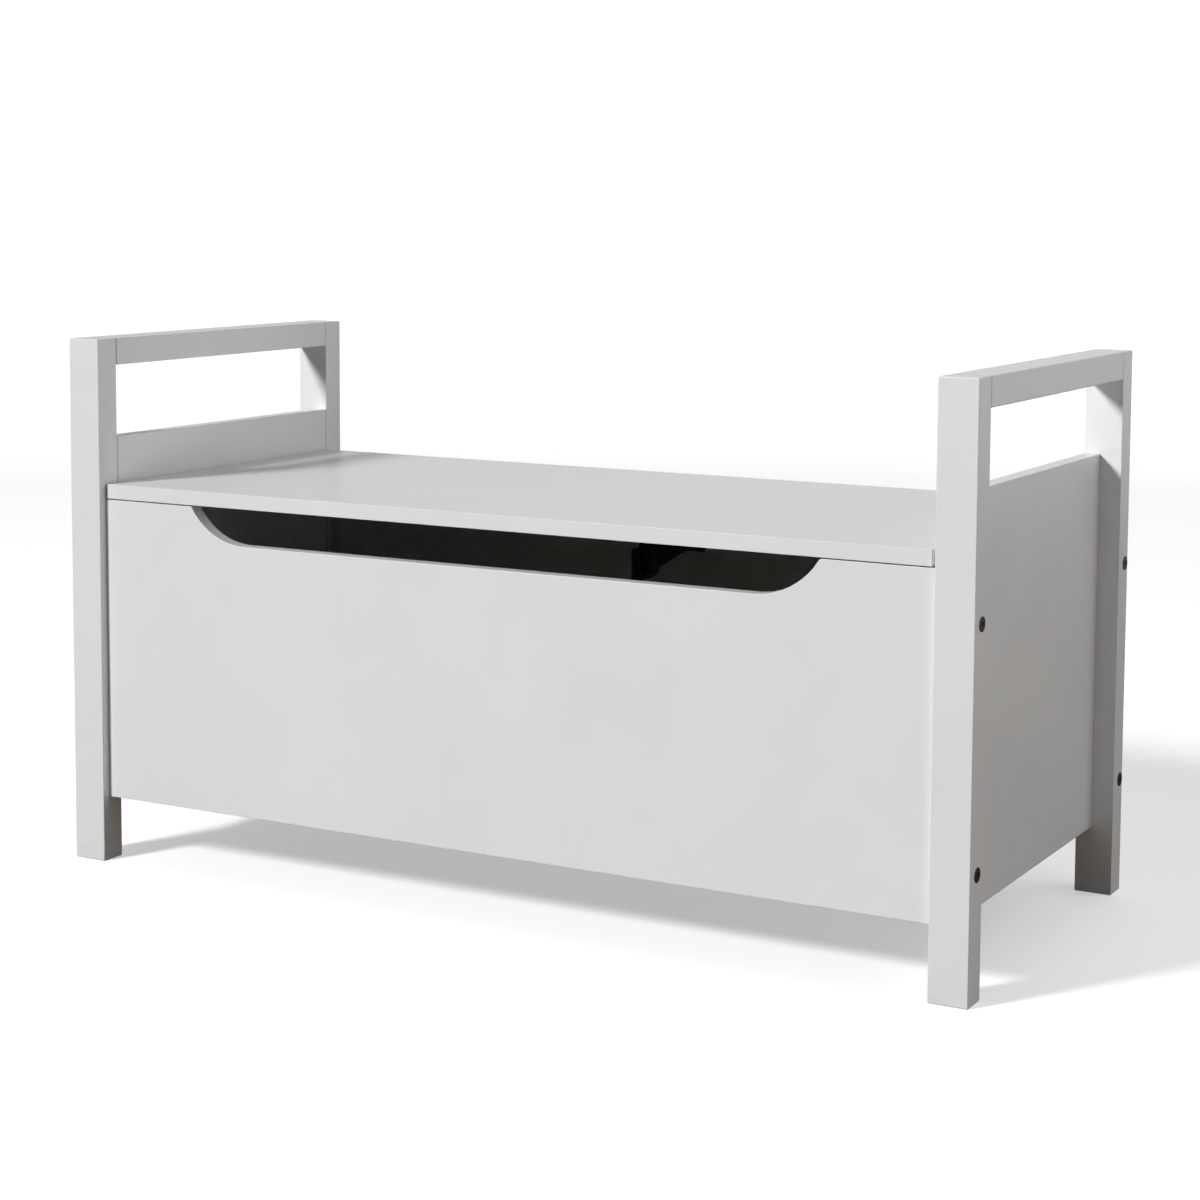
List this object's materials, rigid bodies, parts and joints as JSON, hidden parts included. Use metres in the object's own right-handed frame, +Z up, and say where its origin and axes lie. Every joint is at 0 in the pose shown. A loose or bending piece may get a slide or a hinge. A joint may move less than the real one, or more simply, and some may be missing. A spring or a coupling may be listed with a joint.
{
  "type": "toy box bench",
  "caption": "Low bench-shaped toy box: hinged seat lid with a folding damper stay, hand cut-out in the front panel, armrest frames on square posts.",
  "frame": {"origin": "on the floor under the middle of the box", "axes": "+X along the length to the right seen from the front, -Y to the front, +Z up"},
  "size_m": [1.0016, 0.436, 0.551],
  "materials": {
    "white_lacquer": "satin white lacquer on board",
    "raw_wood": "unfinished beech",
    "bottom_board": "unfinished fibreboard",
    "clear_pad": "translucent soft dot",
    "zinc_steel": "zinc plated",
    "black_steel": "satin black powder coat",
    "black_plastic": "moulded, fine grain",
    "dark_bolt": "blackened steel"
  },
  "bodies": {
    "carcase": {"post_front_left": "white_lacquer", "post_front_right": "white_lacquer", "post_rear_left": "white_lacquer", "post_rear_right": "white_lacquer", "armrest_rail_left": "white_lacquer", "armrest_rail_right": "white_lacquer", "side_panel_left": "white_lacquer", "side_panel_right": "white_lacquer", "front_panel": "white_lacquer", "back_panel": "white_lacquer", "bottom_board": "bottom_board", "batten_front": "raw_wood", "batten_back": "raw_wood", "batten_left": "raw_wood", "batten_right": "raw_wood", "lid_bumper_pads": "clear_pad", "hinge_back_leaf_left": "zinc_steel", "hinge_back_leaf_right": "zinc_steel", "hinge_pin_left": "zinc_steel", "hinge_pin_right": "zinc_steel", "hinge_screws_back": "zinc_steel", "stay_wall_bracket": "black_steel", "stay_wall_pin": "dark_bolt", "stay_screws_back": "dark_bolt", "connector_bolts_left": "dark_bolt", "connector_bolts_right": "dark_bolt", "barrel_nuts": "zinc_steel", "batten_screws": "zinc_steel", "rail_dowels": "raw_wood", "side_panel_dowels": "raw_wood", "front_panel_dowels": "raw_wood", "back_panel_dowels": "raw_wood"},
    "lid": {"lid": "white_lacquer", "hinge_lid_leaf_left": "zinc_steel", "hinge_lid_leaf_right": "zinc_steel", "hinge_screws_lid": "zinc_steel", "stay_lid_bracket": "black_steel", "stay_lid_pin": "dark_bolt", "stay_screws_lid": "dark_bolt"},
    "stay_lower": {"stay_lower_arm": "black_steel", "stay_elbow_shaft": "dark_bolt"},
    "stay_upper": {"stay_upper_arm": "black_steel", "stay_damper": "black_plastic"}
  },
  "joints": [
    {"name": "lid_hinge", "type": "hinge", "parent": "carcase", "child": "lid", "pos_m": [0, 0.1979, 0.3814], "axis": [-1, 0, 0], "range_deg": [0, 80]},
    {"name": "stay_wall_pivot", "type": "hinge", "parent": "carcase", "child": "stay_lower", "pos_m": [0.0135, 0.189, 0.3234], "axis": [-1, 0, 0], "range_deg": [0, 80]},
    {"name": "stay_lid_pivot", "type": "hinge", "parent": "lid", "child": "stay_upper", "pos_m": [0.0189, 0.0969, 0.3735], "axis": [-1, 0, 0], "range_deg": [-80, 0]}
  ],
  "couplings": [
    {"joint": "stay_wall_pivot", "follows": "lid_hinge", "ratio": 1},
    {"joint": "stay_lid_pivot", "follows": "lid_hinge", "ratio": -1}
  ]
}
